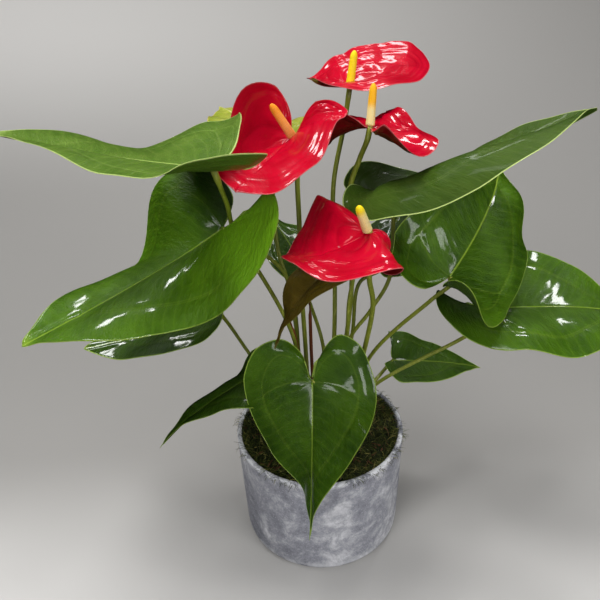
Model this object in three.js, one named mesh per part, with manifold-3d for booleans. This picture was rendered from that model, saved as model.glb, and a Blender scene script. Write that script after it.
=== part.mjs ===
// Potted anthurium: red flamingo flowers and heart-shaped leaves in a round cement-look pot with moss.
// Millimetres and degrees, +Z up. Origin: centre of the pot's foot. -Y faces the viewer, +X is right.

import * as THREE from "three";
import * as BufferGeometryUtils from "three/addons/utils/BufferGeometryUtils.js";
import Module from "manifold-3d";

const wasm = await Module();
wasm.setup();

const DEG = Math.PI / 180;

// Pot, potting mix and moss
const POT_HEIGHT = 108;
const POT_RIM_RADIUS = 75;
const POT_FOOT_RADIUS = 72.5;
const POT_FOOT_ROUND = 7;
const POT_WALL = 4;
const POT_FLOOR = 8;
const RIM_ROUND = 1;
const POT_SEGMENTS = 48;
const MIX_SEGMENTS = 32;
const SEAT_GAP = 0.3;
const MIX_TOP = 94;
const MOSS_EDGE = 104;
const MOSS_MOUND = 5;
const MOSS_TUFT = 2;
const MOSS_RINGS = 5;
const HOLE_CLEARANCE = 0.4;

// Blades and stalks
const LEAF_THICKNESS = 0.8;
const SPATHE_THICKNESS = 0.8;
const BLADE_RAYS = 12;
const BLADE_LEVELS = [0.28, 0.55, 0.8, 1];
const SPINE_STEPS = 24;
const PETIOLE_RADIUS = 1.6;
const PEDUNCLE_RADIUS = 1.9;
const OLD_STALK_RADIUS = 1.5;
const STALK_SIDES = 6;
const STALK_STEPS = 9;
const FOOT_DEPTH = 84;
const STALK_RISE = 112;
const JOINT_BEND = 8;
const JOINT_KNOB = 2.2;
const JOINT_GAP = 1.1;
const SLIVER = 0.1;

// Spadix: staggered florets round a tapering finger, rounded off from its shoulder to its tip
const SPADIX_SEGMENTS = 12;
const SPADIX_ROWS = 11;
const SPADIX_ROWS_SHARE = 0.99;
const SPADIX_FOOT = 0.01;
const SPADIX_SHOULDER = 0.8;
const SPADIX_TIP = 1.01;
const FLORET_HEIGHT = 0.28;
const SPADIX_TAPER = 0.22;

// Half outlines, from the sinus round the lobe to the tip: across in half widths, along in lengths
// ahead of the stalk's joint or in lobe lengths behind it
const LEAF_OUTLINE = [
  [0.04, -0.14], [0.15, -0.66], [0.44, -1], [0.78, -0.74], [0.98, -0.05], [0.97, 0.16],
  [0.83, 0.4], [0.56, 0.62], [0.27, 0.8], [0.08, 0.92], [0, 1],
];
const SPATHE_OUTLINE = [
  [0.04, -0.16], [0.2, -0.62], [0.5, -1], [0.82, -0.8], [1, -0.1], [0.98, 0.22],
  [0.82, 0.52], [0.54, 0.76], [0.24, 0.91], [0.06, 0.97], [0, 1],
];
// Where along a blade its folds are stated: lobe, shoulder, middle and outer third
const FOLD_STATIONS = [-0.5, 0.15, 0.7, 1.6];
const CURL_STATIONS = [-0.5, 0.7];
const STATION_REACH = 0.35;

// Each blade: at is the stalk's joint; head is the compass heading of its midrib, [at the joint, change
// towards the tip]; rise is [climb at the joint, droop to the tip, droop's power]; roll is [at the joint,
// change to the tip]; lift turns the [left, right] lobe behind the joint. width is a half's width, lobe
// its length behind the joint, folds its angles above flat at the four stations, curls its bend across.
const LEAVES = [
  {
    name: "leaf_upper_left", tint: "leafLight",
    at: [-62, -70, 374], length: 139, head: [171, 1], rise: [4, -9, 1],
    roll: [-4, -11], lift: [-37, -11], fullness: 0.6,
    left: { width: 36, lobe: 41, folds: [-5, 5, 15, 40], curls: [-90, 10] },
    right: { width: 70, lobe: 12, folds: [40, 10, -10, -5], curls: [-5, 30] },
    stalk: [[-17, 10], [-23, 6, 258], [-56, -16, 304], [-58, -50, 343]],
  },
  {
    name: "leaf_left", tint: "leaf",
    at: [-65, -32, 318], length: 162, head: [-176, 26], rise: [-34, -20, 0.8],
    roll: [-10, 5], lift: [-45, -45], fullness: 0.6,
    left: { width: 67, lobe: 47, folds: [-10, 0, 17, 25], curls: [-10, 50] },
    right: { width: 67, lobe: 42, folds: [80, 60, 0, 15], curls: [60, 45] },
    stalk: [[-18, -14], [-18, -13, 205], [-46, -22, 285]],
  },
  {
    name: "leaf_left_under", tint: "leaf",
    at: [-85, 19, 223], length: 117, head: [-171, -5], rise: [-17, -10, 1.3],
    roll: [0, -20], lift: [-45, -45], fullness: 0.7,
    left: { width: 41, lobe: 25, folds: [25, 10, 20, 5], curls: [-5, 30] },
    right: { width: 43, lobe: 39, folds: [20, 20, 10, 10], curls: [10, 15] },
    stalk: [[-26, 6], [-68, 47, 168]],
  },
  {
    name: "leaf_lower_left", tint: "leaf",
    at: [-44, 4, 172], length: 118, head: [-153, -15], rise: [-16, 35, 1.7],
    roll: [25, 0], lift: [0, 25], fullness: 1.1,
    left: { width: 43, lobe: 14, folds: [0, -15, 10, 15], curls: [15, 30] },
    right: { width: 41, lobe: 23, folds: [5, 10, 20, 30], curls: [-45, 55] },
    stalk: [[-25, -3], [-36, 0, 148]],
  },
  {
    name: "leaf_front", tint: "leaf",
    at: [-6, -46, 191], length: 122, head: [-94, -5], rise: [-60, -5, 1.3],
    roll: [25, 20], lift: [-20, -20], fullness: 1.3,
    left: { width: 51, lobe: 39, folds: [5, -10, 0, 20], curls: [40, 0] },
    right: { width: 56, lobe: 35, folds: [30, 25, 20, -20], curls: [-10, 25] },
    stalk: [[0, -14], [-3, -24, 164]],
  },
  {
    name: "leaf_lower_right", tint: "leaf",
    at: [73, 43, 145], length: 100, head: [12, 5], rise: [-12, 15, 1.5],
    roll: [20, 0], lift: [-35, -35], fullness: 0.9,
    left: { width: 32, lobe: 6, folds: [30, 30, 5, 5], curls: [50, 15] },
    right: { width: 29, lobe: 14, folds: [15, 10, 10, 20], curls: [-5, 5] },
    stalk: [[24, 15], [53, 24, 137]],
  },
  {
    name: "leaf_right", tint: "leaf",
    at: [146, -10, 230], length: 121, head: [-20, 25], rise: [11, 40, 1.6],
    roll: [5, -10], lift: [-60, -60], fullness: 0.8,
    left: { width: 61, lobe: 50, folds: [35, 25, 15, 10], curls: [30, -10] },
    right: { width: 59, lobe: 58, folds: [35, 30, 5, -5], curls: [50, 70] },
    stalk: [[28, 4], [48, 2, 147], [124, 2, 195]],
  },
  {
    name: "leaf_mid_right", tint: "leaf",
    at: [99, -29, 271], length: 139, head: [40, 40], rise: [35, 35, 1.6],
    roll: [5, 55], lift: [-70, -70], fullness: 0.8,
    left: { width: 53, lobe: 46, folds: [50, 45, 30, 15], curls: [20, 15] },
    right: { width: 55, lobe: 29, folds: [55, -10, -5, 20], curls: [95, 25] },
    stalk: [[26, -7], [43, -8, 185], [88, -22, 247]],
  },
  {
    name: "leaf_upper_right", tint: "leafLight",
    at: [62, 8, 323], length: 150, head: [-22, 35], rise: [23, 0, 0.8],
    roll: [-35, 15], lift: [-10, -90], fullness: 0.6,
    left: { width: 51, lobe: 46, folds: [60, 25, 40, 40], curls: [-55, 35] },
    right: { width: 70, lobe: 38, folds: [-10, 25, 40, 35], curls: [85, 140] },
    stalk: [[19, -3], [26, -3, 199], [44, -2, 228], [59, 0, 257]],
  },
  {
    name: "leaf_back", tint: "leaf",
    at: [-11, 71, 238], length: 85, head: [119, -5], rise: [31, 25, 1.2],
    roll: [10, 10], lift: [-10, -10], fullness: 1.1,
    left: { width: 33, lobe: 22, folds: [15, 15, 10, 10], curls: [20, 15] },
    right: { width: 32, lobe: 23, folds: [15, 15, 15, -5], curls: [25, 15] },
    stalk: [[3, 17], [6, 20, 178], [-5, 46, 213]],
  },
  {
    name: "leaf_back_right", tint: "leaf",
    at: [54, 31, 255], length: 76, head: [62, 5], rise: [29, 30, 1.3],
    roll: [0, 0], lift: [-15, -15], fullness: 1,
    left: { width: 30, lobe: 20, folds: [15, 15, 10, 10], curls: [25, 15] },
    right: { width: 30, lobe: 15, folds: [15, 10, 10, 10], curls: [25, 15] },
    stalk: [[17, 14], [31, 16, 194], [38, 26, 239]],
  },
  {
    name: "young_leaf_green", tint: "leafYoung",
    at: [-28, 51, 348], length: 101, head: [123, -5], rise: [21, 25, 1.2],
    roll: [0, 0], lift: [-10, -10], fullness: 1,
    left: { width: 47, lobe: 26, folds: [15, 10, 20, 0], curls: [20, 15] },
    right: { width: 44, lobe: 28, folds: [20, 25, -5, 5], curls: [10, 15] },
    stalk: [[-13, 17], [-21, 19, 239], [-29, 28, 271], [-31, 39, 312]],
  },
  {
    name: "young_leaf_bronze", tint: "leafBronze",
    at: [21, -34, 289], length: 90, head: [-176, 15], rise: [-16, 55, 0.6],
    roll: [10, -15], lift: [-10, -10], fullness: 0.6,
    left: { width: 29, lobe: 16, folds: [15, 5, 20, 35], curls: [25, 15] },
    right: { width: 28, lobe: 15, folds: [15, 10, 50, -5], curls: [25, 50] },
    stalk: [[12, -9], [23, -16, 204], [24, -28, 250]],
  },
];

// Flowers: the spathe is a blade too, the stalk runs from the mix to its joint, and the spadix stands
// there; to is the spadix tip's place from the joint
const FLOWERS = [
  {
    name: "left",
    at: [-13, -3, 372], length: 83, head: [-116, 0], rise: [-6, 5, 1.3],
    roll: [20, -25], lift: [-30, -30], fullness: 1,
    left: { width: 48, lobe: 20, folds: [50, 30, 5, -15], curls: [75, 10] },
    right: { width: 57, lobe: 26, folds: [85, -10, 15, 15], curls: [-25, 20] },
    stalk: [[-9, 4], [-10, 2, 196], [-11, 4, 235], [-11, 0, 308], [-11, -1, 343]],
    spadix: { to: [-14, -3, 24], radius: 3.1 },
  },
  {
    name: "right",
    at: [41, 0, 376], length: 49, head: [68, 0], rise: [-5, -10, 0.9],
    roll: [5, 8], lift: [-75, -75], fullness: 1.3,
    left: { width: 44, lobe: 25, folds: [20, -10, 0, -35], curls: [75, 25] },
    right: { width: 48, lobe: 21, folds: [-35, 5, 0, 50], curls: [20, 10] },
    stalk: [[14, 3], [24, 2, 194], [29, 2, 250], [27, 0, 331], [34, 1, 353]],
    spadix: { to: [3, 8, 28], radius: 3 },
  },
  {
    name: "back",
    at: [32, 56, 393], length: 93, head: [24, 62], rise: [4, -14, 0.5],
    roll: [-10, 8], lift: [-44, -22], fullness: 0.4,
    left: { width: 46, lobe: 22, folds: [10, 25, 15, 5], curls: [15, -5] },
    right: { width: 34, lobe: 43, folds: [32, 30, 15, 0], curls: [70, 70] },
    stalk: [[8, 9], [15, 12, 193], [17, 25, 241], [18, 44, 320], [27, 54, 362]],
    spadix: { to: [4, 5, 25], radius: 3.1 },
  },
  {
    name: "front",
    at: [32, -72, 329], length: 59, head: [-156, -24], rise: [-24, -34, 1.4],
    roll: [6, 17], lift: [92, 88], fullness: 0.7,
    left: { width: 36, lobe: 30, folds: [-55, -15, -20, -5], curls: [20, 5] },
    right: { width: 53, lobe: 19, folds: [-50, 45, 32, 10], curls: [45, 30] },
    stalk: [[21, -11], [37, -20, 200], [41, -38, 254], [35, -60, 292]],
    spadix: { to: [-7, -7, 20], radius: 3.1 },
  },
];

// Stalks left from old leaves: [foot], then places up to the withered end
const OLD_STALKS = [
  [[-14, -4], [-17, -5, 197], [-22, -6, 226]],
  [[-3, -3], [-5, 5, 176], [-5, 6, 234]],
];

const add = (a, b) => a.clone().add(b);
const scaled = (v, k) => v.clone().multiplyScalar(k);
const lerp = (a, b, t) => a + (b - a) * t;

// Point on a smooth line through the outline's points, t from 0 to 1
function outlinePoint(points, t) {
  const last = points.length - 1;
  const i = Math.min(Math.floor(t * last), last - 1);
  const u = t * last - i;
  const [b, c] = [points[i], points[i + 1]];
  const a = points[i - 1] ?? b.map((v, k) => 2 * v - c[k]);
  const d = points[i + 2] ?? c.map((v, k) => 2 * v - b[k]);
  return b.map((v, k) => 0.5 * (2 * v + (c[k] - a[k]) * u
    + (2 * a[k] - 5 * v + 4 * c[k] - d[k]) * u * u
    + (3 * v - a[k] - 3 * c[k] + d[k]) * u ** 3));
}

// Value between stated stations, eased at each
function atStation(stations, values, s) {
  if (s <= stations[0]) return values[0];
  for (let i = 1; i < stations.length; i += 1) {
    if (s <= stations[i]) {
      const u = (s - stations[i - 1]) / (stations[i] - stations[i - 1]);
      return lerp(values[i - 1], values[i], u * u * (3 - 2 * u));
    }
  }
  return values[values.length - 1];
}

// Unit vector with this heading and climb, both in radians
function direction(heading, climb) {
  return new THREE.Vector3(
    Math.cos(climb) * Math.cos(heading),
    Math.cos(climb) * Math.sin(heading),
    Math.sin(climb),
  );
}

// Midrib from the joint to the tip, and the line that the lobes follow behind it
function spine(spec, side) {
  const [head, sway] = spec.head;
  const [climb, droop, power] = spec.rise;
  const lift = side < 0 ? spec.lift[0] : spec.lift[1];
  const ahead = (s) => direction((head + sway * s) * DEG, (climb - droop * s ** power) * DEG);
  const behind = (s) => direction(head * DEG, (climb + lift * s) * DEG);
  const walk = (tangentAt) => {
    const places = [new THREE.Vector3()];
    for (let i = 1; i <= SPINE_STEPS; i += 1) {
      const step = add(tangentAt((i - 1) / SPINE_STEPS), tangentAt(i / SPINE_STEPS));
      places.push(add(places[i - 1], step.multiplyScalar(0.5 / SPINE_STEPS)));
    }
    return places;
  };
  const between = (places, s) => {
    const i = Math.min(Math.floor(s * SPINE_STEPS), SPINE_STEPS - 1);
    return places[i].clone().lerp(places[i + 1], s * SPINE_STEPS - i);
  };
  const forward = walk(ahead);
  const backward = walk(behind);
  return (share) => (share >= 0
    ? { place: between(forward, share), tangent: ahead(share) }
    : { place: scaled(between(backward, -share), -1), tangent: behind(-share) });
}

// Place of the blade's point at x across and y along its flat shape, in millimetres
function bladePoint(spec, line, side, x, y) {
  const half = side < 0 ? spec.left : spec.right;
  const share = y >= 0 ? y / spec.length : y / half.lobe;
  const { place, tangent } = line(share);
  const right = new THREE.Vector3().crossVectors(tangent, new THREE.Vector3(0, 0, 1)).normalize();
  const up = new THREE.Vector3().crossVectors(right, tangent);
  const roll = (spec.roll[0] + spec.roll[1] * (y / spec.length)) * DEG;
  const across = add(scaled(right, Math.cos(roll)), scaled(up, -Math.sin(roll)));
  const normal = new THREE.Vector3().crossVectors(across, tangent);
  const station = y / (x + STATION_REACH * spec.length);
  const fold = atStation(FOLD_STATIONS, half.folds, station) * DEG;
  const curl = atStation(CURL_STATIONS, half.curls, station) * DEG || 1e-3;
  const q = x / half.width;
  const out = (-(Math.sin(fold - curl * q) - Math.sin(fold)) * half.width) / curl;
  const rise = ((Math.cos(fold - curl * q) - Math.cos(fold)) * half.width) / curl;
  return new THREE.Vector3(...spec.at)
    .add(scaled(place, y >= 0 ? spec.length : half.lobe))
    .add(scaled(across, side * out))
    .add(scaled(normal, rise));
}

// Thin closed sheet: rays fan out from the joint to the rim of each half and share the midrib
function bladeGeometry(spec, outline, thickness) {
  const lines = { left: spine(spec, -1), right: spine(spec, 1) };
  const points = [new THREE.Vector3(...spec.at)];
  const faces = [];
  const levels = BLADE_LEVELS.length;
  const addRay = (side, x, y) => {
    const start = points.length;
    for (const level of BLADE_LEVELS) {
      points.push(bladePoint(spec, side < 0 ? lines.left : lines.right, side, x * level, y * level));
    }
    return start;
  };
  const midrib = addRay(1, 0, spec.length);
  for (const side of [-1, 1]) {
    const half = side < 0 ? spec.left : spec.right;
    const rays = [];
    for (let j = 0; j < BLADE_RAYS; j += 1) {
      const [u, v] = outlinePoint(outline, j / BLADE_RAYS);
      const power = lerp(1, spec.fullness, THREE.MathUtils.clamp((v - 0.1) / 0.3, 0, 1));
      const x = half.width * Math.max(u, 0) ** power;
      rays.push(addRay(side, x, v * (v >= 0 ? spec.length : half.lobe)));
    }
    rays.push(midrib);
    for (let j = 0; j < BLADE_RAYS; j += 1) {
      const [a, b] = side > 0 ? [rays[j], rays[j + 1]] : [rays[j + 1], rays[j]];
      faces.push([0, a, b]);
      for (let i = 0; i + 1 < levels; i += 1) {
        faces.push([a + i, a + i + 1, b + i], [b + i, a + i + 1, b + i + 1]);
      }
    }
  }
  return thickened(points, faces, thickness);
}

// Closed solid of even thickness round a sheet, with its triangles split alike on both faces
function thickened(points, faces, thickness) {
  const sheet = new THREE.BufferGeometry().setFromPoints(points);
  sheet.setIndex(faces.flat());
  sheet.computeVertexNormals();
  const normals = sheet.getAttribute("normal");
  const count = points.length;
  const skin = [1, -1].flatMap((face) => points.map((point, i) => (
    add(point, new THREE.Vector3().fromBufferAttribute(normals, i).multiplyScalar((face * thickness) / 2))
  )));
  const edges = new Set(faces.flatMap(([a, b, c]) => [`${a},${b}`, `${b},${c}`, `${c},${a}`]));
  const index = faces.flatMap(([a, b, c]) => [a, b, c, a + count, c + count, b + count]);
  for (const edge of edges) {
    const [a, b] = edge.split(",").map(Number);
    if (!edges.has(`${b},${a}`)) index.push(b, a, a + count, b, a + count, b + count);
  }
  const solid = new THREE.BufferGeometry().setFromPoints(skin);
  solid.setIndex(index);
  return solid;
}

// Round stalk of even thickness along a smooth line through the points
function stalkGeometry(points, radius) {
  const path = new THREE.CatmullRomCurve3(points.map((p) => new THREE.Vector3(...p)), false, "centripetal");
  const section = new THREE.Shape();
  for (let i = 0; i < STALK_SIDES; i += 1) {
    const angle = (i / STALK_SIDES) * 2 * Math.PI;
    const corner = [radius * Math.cos(angle), radius * Math.sin(angle)];
    if (i === 0) section.moveTo(...corner);
    else section.lineTo(...corner);
  }
  section.closePath();
  return new THREE.ExtrudeGeometry(section, { steps: STALK_STEPS, bevelEnabled: false, extrudePath: path });
}

// Solid that manifold-3d can join and cut, from a closed three.js geometry, and back
function toSolid(geometry) {
  const bare = geometry.index && !geometry.getAttribute("uv") ? geometry : geometry.clone();
  bare.deleteAttribute("normal");
  bare.deleteAttribute("uv");
  const merged = BufferGeometryUtils.mergeVertices(bare, 1e-4);
  return new wasm.Manifold(new wasm.Mesh({
    numProp: 3,
    vertProperties: new Float32Array(merged.getAttribute("position").array),
    triVerts: new Uint32Array(merged.index.array),
  }));
}

function toGeometry(solid) {
  const mesh = solid.getMesh();
  const geometry = new THREE.BufferGeometry();
  geometry.setAttribute("position", new THREE.BufferAttribute(new Float32Array(mesh.vertProperties), 3));
  geometry.setIndex(new THREE.BufferAttribute(new Uint32Array(mesh.triVerts), 1));
  geometry.computeVertexNormals();
  return geometry;
}

// The same triangles in order of height, so that a leaf's begin at its stalk's foot
function fromFootUp(geometry) {
  const [index, position] = [geometry.index, geometry.getAttribute("position")];
  const height = (i) => position.getZ(index.getX(i));
  const starts = Array.from({ length: index.count / 3 }, (_, i) => 3 * i).sort((a, b) => height(a) - height(b));
  geometry.setIndex(starts.flatMap((i) => [index.getX(i), index.getX(i + 1), index.getX(i + 2)]));
  return geometry;
}

// The largest of the pieces that a join or cut leaves
function largest(solid) {
  return solid.decompose().reduce((a, b) => (b.volume() > a.volume() ? b : a));
}

// Stalk's places from its foot in the mix to its top end
function stalkPlaces(stalk) {
  const [[x, y], ...rest] = stalk;
  return [[x, y, FOOT_DEPTH], [x, y, STALK_RISE], ...rest];
}

// A blade's stalk meets it from below, by the blade's own slope, and ends at the joint or a little short
function jointPlaces(spec, short) {
  const { tangent } = spine(spec, 1)(0);
  const joint = new THREE.Vector3(...spec.at);
  const right = new THREE.Vector3().crossVectors(tangent, new THREE.Vector3(0, 0, 1)).normalize();
  const across = right.applyAxisAngle(tangent, spec.roll[0] * DEG);
  const normal = new THREE.Vector3().crossVectors(across, tangent);
  const under = add(add(joint, scaled(normal, -JOINT_BEND)), scaled(tangent, -JOINT_BEND / 3));
  return [under.toArray(), add(joint, scaled(normal, -short)).toArray()];
}

function bladeStalkPlaces(spec, short = 0) {
  return [...stalkPlaces(spec.stalk), ...jointPlaces(spec, short)];
}

// Finger of florets: a lathed, tapering, round-ended rod with staggered bumps
function spadixGeometry(at, { to, radius }) {
  const tip = new THREE.Vector3(...to);
  const length = tip.length() - JOINT_GAP;
  const rowHeight = (length * SPADIX_ROWS_SHARE) / SPADIX_ROWS;
  const profile = [new THREE.Vector2(0, 0)];
  for (let i = 0; i <= SPADIX_ROWS; i += 1) {
    const t = i / SPADIX_ROWS;
    const rounding = Math.max(0, (t - SPADIX_SHOULDER) / (SPADIX_TIP - SPADIX_SHOULDER));
    const taper = radius * (1 - SPADIX_TAPER * t) * Math.sqrt(1 - rounding ** 2);
    profile.push(new THREE.Vector2(taper, rowHeight * i + SPADIX_FOOT));
  }
  profile.push(new THREE.Vector2(0, length));
  const geometry = new THREE.LatheGeometry(profile, SPADIX_SEGMENTS);
  const position = geometry.getAttribute("position");
  for (let i = 0; i < position.count; i += 1) {
    const [x, y, z] = [position.getX(i), position.getY(i), position.getZ(i)];
    const r = Math.hypot(x, z);
    if (r > radius / 3) {
      const row = Math.round((y - SPADIX_FOOT) / rowHeight);
      const bump = FLORET_HEIGHT * Math.cos((Math.atan2(z, x) * SPADIX_SEGMENTS) / 2) * (row % 2 ? -1 : 1);
      position.setXYZ(i, x * (1 + bump / r), y, z * (1 + bump / r));
    }
  }
  const turn = new THREE.Quaternion().setFromUnitVectors(new THREE.Vector3(0, 1, 0), tip.normalize());
  const base = add(new THREE.Vector3(...at), scaled(tip, JOINT_GAP));
  return geometry.applyQuaternion(turn).translate(base.x, base.y, base.z);
}

// Turned form about the pot's axis from [radius, height] pairs
function turned(profile, segments) {
  const points = profile.map(([r, z]) => new THREE.Vector2(r, z));
  return new THREE.LatheGeometry(points, segments).rotateX(Math.PI / 2);
}

// Radius of the pot's outside and inside at a height
const potOutside = (z) => lerp(POT_FOOT_RADIUS, POT_RIM_RADIUS, z / POT_HEIGHT);
const potInside = (z) => potOutside(z) - POT_WALL;

function potGeometry() {
  const foot = [0, 30, 60, 90].map((a) => [
    potOutside(POT_FOOT_ROUND) - POT_FOOT_ROUND * (1 - Math.sin(a * DEG)),
    POT_FOOT_ROUND * (1 - Math.cos(a * DEG)),
  ]);
  return turned([
    [0, 0],
    ...foot,
    [POT_RIM_RADIUS, POT_HEIGHT - RIM_ROUND],
    [POT_RIM_RADIUS - RIM_ROUND, POT_HEIGHT],
    [POT_RIM_RADIUS - POT_WALL + RIM_ROUND, POT_HEIGHT],
    [POT_RIM_RADIUS - POT_WALL, POT_HEIGHT - RIM_ROUND],
    [potInside(POT_FLOOR + POT_FOOT_ROUND), POT_FLOOR + POT_FOOT_ROUND],
    [potInside(POT_FLOOR) - POT_FOOT_ROUND / 2, POT_FLOOR],
    [0, POT_FLOOR],
  ], POT_SEGMENTS);
}

function mixGeometry() {
  const bottom = POT_FLOOR + SEAT_GAP;
  return turned([
    [0, bottom],
    [potInside(bottom) - POT_FOOT_ROUND / 2 - 1, bottom],
    [potInside(bottom + POT_FOOT_ROUND) - SEAT_GAP * 2, bottom + POT_FOOT_ROUND + 1],
    [potInside(MIX_TOP) - SEAT_GAP * 2, MIX_TOP],
    [0, MIX_TOP],
  ], MIX_SEGMENTS);
}

// Height of the moss above its edge at a place: a low mound with tufts
function mossRelief(x, y) {
  const share = Math.hypot(x, y) / potInside(MOSS_EDGE);
  const tufts = Math.sin(x * 0.31 + 1.3) * Math.cos(y * 0.27) + Math.sin(x * 0.13 - y * 0.19 + 0.7);
  return MOSS_MOUND * (1 - share * share) + MOSS_TUFT * 0.5 * tufts * (1 - share ** 6);
}

function mossGeometry() {
  const radius = potInside(MIX_TOP) - SEAT_GAP * 2;
  const bottom = MIX_TOP + SEAT_GAP;
  const rings = Array.from({ length: MOSS_RINGS }, (_, i) => (
    [radius * (1 - (i / MOSS_RINGS) ** 1.2), MOSS_EDGE]
  ));
  const geometry = turned([[0, bottom], [radius, bottom], ...rings, [0, MOSS_EDGE]], MIX_SEGMENTS);
  const position = geometry.getAttribute("position");
  for (let i = 0; i < position.count; i += 1) {
    const [x, y, z] = [position.getX(i), position.getY(i), position.getZ(i)];
    if (z > bottom + 1) position.setZ(i, z + mossRelief(x, y));
  }
  return geometry;
}

const finish = {
  pot: new THREE.MeshStandardMaterial({ color: 0x9094a0, roughness: 0.9, metalness: 0 }),
  mix: new THREE.MeshStandardMaterial({ color: 0x2c2118, roughness: 1, metalness: 0 }),
  moss: new THREE.MeshStandardMaterial({ color: 0x33401a, roughness: 1, metalness: 0 }),
  leaf: new THREE.MeshStandardMaterial({ color: 0x2c6a1e, roughness: 0.3, metalness: 0 }),
  leafLight: new THREE.MeshStandardMaterial({ color: 0x4f8a2f, roughness: 0.45, metalness: 0 }),
  leafYoung: new THREE.MeshStandardMaterial({ color: 0xa6ac55, roughness: 0.35, metalness: 0 }),
  leafBronze: new THREE.MeshStandardMaterial({ color: 0x6b4a24, roughness: 0.5, metalness: 0 }),
  stalk: new THREE.MeshStandardMaterial({ color: 0x6c7a33, roughness: 0.5, metalness: 0 }),
  oldStalk: new THREE.MeshStandardMaterial({ color: 0x7a4428, roughness: 0.7, metalness: 0 }),
  spathe: new THREE.MeshStandardMaterial({ color: 0xc5102a, roughness: 0.2, metalness: 0 }),
  spadix: new THREE.MeshStandardMaterial({ color: 0xf0c34a, roughness: 0.7, metalness: 0 }),
};

const group = new THREE.Group();

function place(name, geometry, material) {
  const mesh = new THREE.Mesh(geometry, material);
  mesh.name = name;
  group.add(mesh);
}

// Holes in the mix and the moss, a little wider and deeper than the stalks that stand in them
const holes = [
  ...LEAVES.map((spec) => [bladeStalkPlaces(spec), PETIOLE_RADIUS]),
  ...FLOWERS.map((spec) => [bladeStalkPlaces(spec), PEDUNCLE_RADIUS]),
  ...OLD_STALKS.map((stalk) => [stalkPlaces(stalk), OLD_STALK_RADIUS]),
].map(([places, radius]) => (
  toSolid(stalkGeometry(places, radius + HOLE_CLEARANCE).translate(0, 0, -HOLE_CLEARANCE))
));

function pierced(geometry) {
  return toGeometry(holes.reduce((solid, hole) => solid.subtract(hole), toSolid(geometry)));
}

place("cover_pot", potGeometry(), finish.pot);
place("root_ball", pierced(mixGeometry()), finish.mix);
place("moss", pierced(mossGeometry()), finish.moss);

for (const spec of LEAVES) {
  const blade = toSolid(bladeGeometry(spec, LEAF_OUTLINE, LEAF_THICKNESS));
  const petiole = toSolid(stalkGeometry(bladeStalkPlaces(spec), PETIOLE_RADIUS));
  const knob = toSolid(new THREE.IcosahedronGeometry(JOINT_KNOB).translate(...spec.at));
  const leaf = largest(blade.add(petiole).add(knob)).simplify(SLIVER);
  place(spec.name, fromFootUp(toGeometry(largest(leaf))), finish[spec.tint]);
}

for (const spec of FLOWERS) {
  const spathe = bladeGeometry(spec, SPATHE_OUTLINE, SPATHE_THICKNESS);
  const around = toSolid(bladeGeometry(spec, SPATHE_OUTLINE, SPATHE_THICKNESS + 3 * SEAT_GAP));
  const room = around.add(toSolid(spathe));
  const stalk = toSolid(stalkGeometry(bladeStalkPlaces(spec, JOINT_GAP), PEDUNCLE_RADIUS));
  const spadix = toSolid(spadixGeometry(spec.at, spec.spadix));
  place(`stalk_${spec.name}`, toGeometry(largest(stalk.subtract(room)).simplify(SLIVER)), finish.stalk);
  place(`spathe_${spec.name}`, spathe, finish.spathe);
  place(`spadix_${spec.name}`, toGeometry(largest(spadix.subtract(around)).simplify(SLIVER)), finish.spadix);
}

OLD_STALKS.forEach((stalk, i) => {
  place(`old_stalk_${i + 1}`, stalkGeometry(stalkPlaces(stalk), OLD_STALK_RADIUS), finish.oldStalk);
});

export default group;
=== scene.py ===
# Potted anthurium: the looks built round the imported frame. The tables and shapes are in millimetres
# and degrees, as the frame's own source has them, and each mesh is scaled to metres when it is made.
import math

import bpy
import numpy as np
from mathutils import Matrix, Vector


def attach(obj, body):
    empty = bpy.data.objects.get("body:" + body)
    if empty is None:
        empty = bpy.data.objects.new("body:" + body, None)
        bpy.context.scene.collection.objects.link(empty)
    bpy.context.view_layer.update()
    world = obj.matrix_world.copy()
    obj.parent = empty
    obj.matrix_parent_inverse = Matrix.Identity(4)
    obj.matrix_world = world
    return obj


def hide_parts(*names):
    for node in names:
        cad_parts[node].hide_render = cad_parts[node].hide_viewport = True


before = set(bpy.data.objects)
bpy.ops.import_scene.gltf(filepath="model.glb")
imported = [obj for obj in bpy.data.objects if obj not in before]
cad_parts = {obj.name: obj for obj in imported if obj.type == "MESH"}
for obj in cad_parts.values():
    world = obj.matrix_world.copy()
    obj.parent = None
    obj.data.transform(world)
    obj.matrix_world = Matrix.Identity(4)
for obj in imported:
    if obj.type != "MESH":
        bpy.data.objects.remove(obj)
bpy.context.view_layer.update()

MM = 0.001

# Pot, potting mix and moss, as in the frame
POT_HEIGHT = 108
POT_RIM_RADIUS = 75
POT_FOOT_RADIUS = 72.5
POT_FOOT_ROUND = 7
POT_WALL = 4
POT_INSIDE_HEIGHTS = (100, 80, 50, 20, 9)
MOSS_UNDERSIDE = 96
MOSS_EDGE = 104
MOSS_MOUND = 5
MOSS_TUFT = 2

# Blades and stalks, as in the frame
PETIOLE_RADIUS = 1.6
PEDUNCLE_RADIUS = 1.9
OLD_STALK_RADIUS = 1.5
FOOT_DEPTH = 84
STALK_RISE = 112
JOINT_BEND = 8
SPADIX_TAPER = 0.22
LEAF_OUTLINE = [
    (0.04, -0.14), (0.15, -0.66), (0.44, -1), (0.78, -0.74), (0.98, -0.05), (0.97, 0.16),
    (0.83, 0.4), (0.56, 0.62), (0.27, 0.8), (0.08, 0.92), (0, 1),
]
SPATHE_OUTLINE = [
    (0.04, -0.16), (0.2, -0.62), (0.5, -1), (0.82, -0.8), (1, -0.1), (0.98, 0.22),
    (0.82, 0.52), (0.54, 0.76), (0.24, 0.91), (0.06, 0.97), (0, 1),
]
FOLD_STATIONS = (-0.5, 0.15, 0.7, 1.6)
CURL_STATIONS = (-0.5, 0.7)
STATION_REACH = 0.35

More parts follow.
